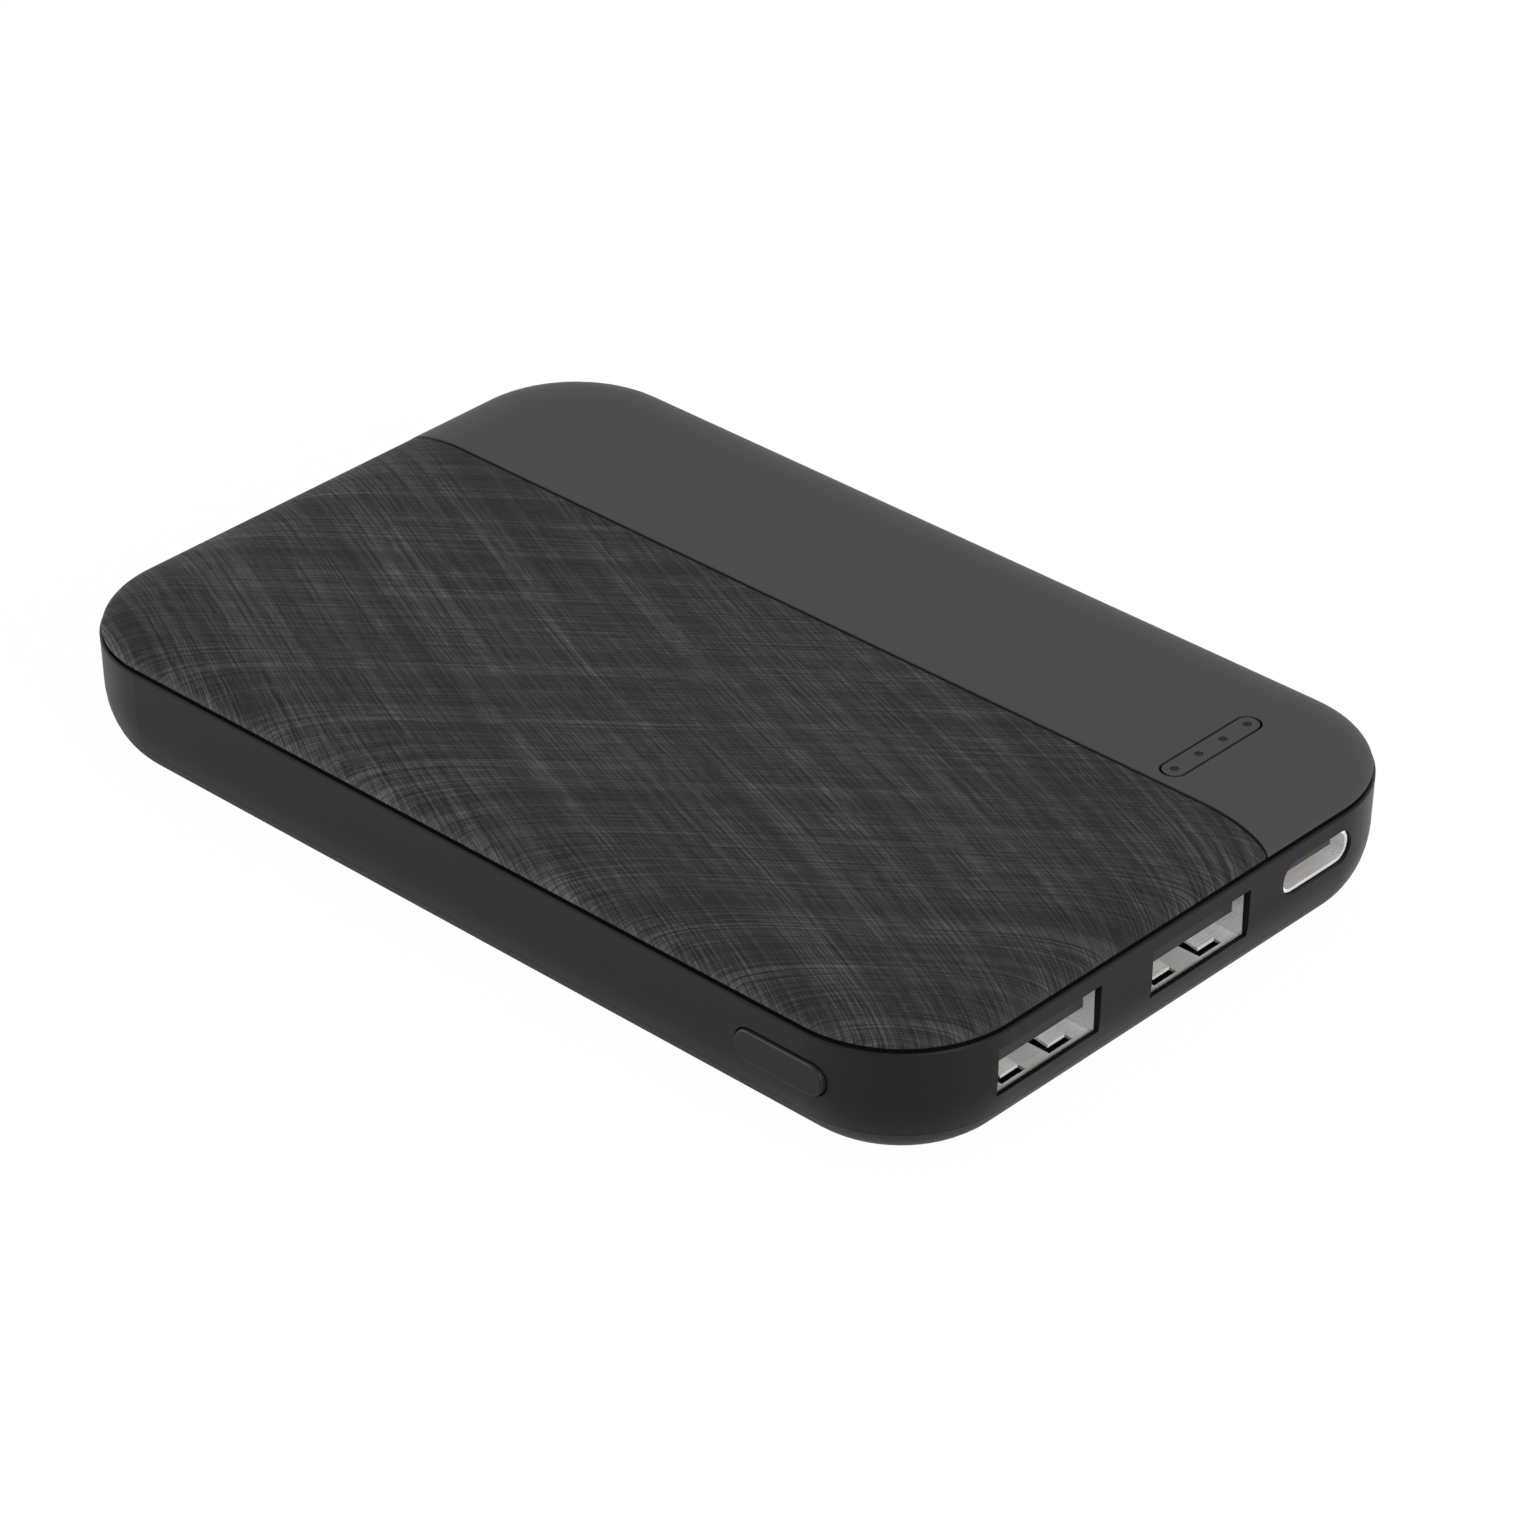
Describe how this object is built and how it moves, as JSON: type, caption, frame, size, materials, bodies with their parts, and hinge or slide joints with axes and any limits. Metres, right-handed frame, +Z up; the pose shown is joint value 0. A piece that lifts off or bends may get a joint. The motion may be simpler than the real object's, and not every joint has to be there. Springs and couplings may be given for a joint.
{
  "type": "power bank",
  "caption": "Slim pocket power bank with a textured panel, plain strip with charge dots, side button, USB-A sockets and a USB-C socket at one end.",
  "frame": {"origin": "middle of the flat base", "axes": "+X to the end with the sockets, -Y to the long side with the button, +Z up"},
  "size_m": [0.1028, 0.0664, 0.0145],
  "materials": {
    "frame_black": "satin moulded plastic",
    "strip_grey": "fine matte moulded plastic",
    "panel_film": "fine crossed line relief",
    "adhesive": "clear double-sided film",
    "smoked_guide": "smoked, clear",
    "lamp_white": "lamp package",
    "button_black": "satin moulded plastic",
    "switch_black": "moulded",
    "plunger_brown": "moulded",
    "socket_steel": "plated sheet steel",
    "solder_silver": "tinned",
    "tongue_dark": "moulded",
    "tongue_white": "moulded",
    "contact_gold": "gold plated",
    "board_green": "solder mask",
    "screw_steel": "zinc plated",
    "ferrite_grey": "pressed ferrite",
    "chip_black": "moulded package",
    "capacitor_tan": "ceramic",
    "pouch_foil": "laminated foil",
    "foam_black": "soft foam",
    "tape_amber": "polyimide tape",
    "tab_nickel": "nickel strip",
    "lead_red": "insulated wire",
    "lead_black": "insulated wire"
  },
  "bodies": {
    "housing": {"middle_frame": "frame_black", "bottom_cover": "frame_black", "top_cover": "strip_grey", "textured_panel": "panel_film", "panel_adhesive": "adhesive", "indicator_bezel": "strip_grey", "light_guide": "smoked_guide", "status_leds": "lamp_white", "tact_switch_housing": "switch_black", "tact_switch_plate": "socket_steel", "tact_switch_terminals": "solder_silver", "usb_c_shell": "socket_steel", "usb_c_tongue": "tongue_dark", "usb_c_contacts": "contact_gold", "circuit_board": "board_green", "board_screws": "screw_steel", "power_inductor": "ferrite_grey", "inductor_terminals": "solder_silver", "controller_chip": "chip_black", "controller_leads": "solder_silver", "power_transistors": "chip_black", "ceramic_capacitors": "capacitor_tan", "lamp_resistors": "chip_black", "battery_cell": "pouch_foil", "cell_adhesive": "adhesive", "cell_foam": "foam_black", "seal_insulator": "tape_amber", "guard_board": "board_green", "guard_chips": "chip_black", "cell_tabs": "tab_nickel", "battery_lead_positive": "lead_red", "battery_lead_negative": "lead_black", "solder_joints": "solder_silver", "usb_a_shell_1": "socket_steel", "usb_a_tongue_1": "tongue_white", "usb_a_contacts_1": "contact_gold", "usb_a_shell_2": "socket_steel", "usb_a_tongue_2": "tongue_white", "usb_a_contacts_2": "contact_gold"},
    "button": {"power_button": "button_black"},
    "plunger": {"tact_switch_plunger": "plunger_brown"}
  },
  "joints": [
    {"name": "button_press", "type": "slide", "parent": "housing", "child": "button", "axis": [0, 1, 0], "range_m": [0, 0.0003], "stiffness_N_per_m": 2000},
    {"name": "plunger_press", "type": "slide", "parent": "housing", "child": "plunger", "axis": [0, 1, 0], "range_m": [0, 0.0003]}
  ],
  "couplings": [
    {"joint": "plunger_press", "follows": "button_press", "ratio": 1}
  ]
}
